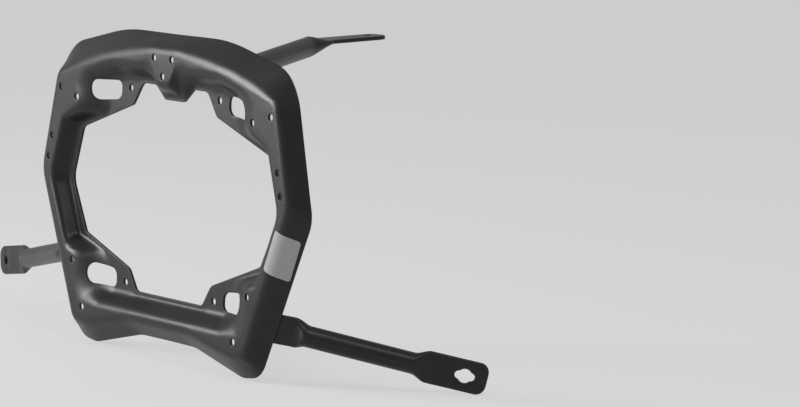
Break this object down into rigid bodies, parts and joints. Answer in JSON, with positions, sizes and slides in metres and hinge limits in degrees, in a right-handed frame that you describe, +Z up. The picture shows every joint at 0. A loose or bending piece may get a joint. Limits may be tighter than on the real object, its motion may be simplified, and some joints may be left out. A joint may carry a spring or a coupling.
{
  "type": "pannier frame",
  "caption": "One side's pannier frame for a motorcycle: a pressed sheet steel ring with a flared rim, windows and bolt holes, on flattened tube stays.",
  "frame": {"origin": "middle of the four outer lug holes, on the outer face of the pressing", "axes": "+X to the right as seen from outside, towards the tail; +Y towards the motorcycle; +Z up"},
  "size_m": [0.7417, 0.265, 0.3111],
  "materials": {
    "powder_coat": "satin black powder coat",
    "label_film": "matt silver grey film, blank"
  },
  "bodies": {
    "root": {"ring_pressing": "powder_coat", "top_stay": "powder_coat", "front_stay": "powder_coat", "rear_stay": "powder_coat", "brace": "powder_coat", "top_weld": "powder_coat", "front_weld": "powder_coat", "rear_weld": "powder_coat", "brace_weld": "powder_coat", "label": "label_film"}
  },
  "joints": []
}
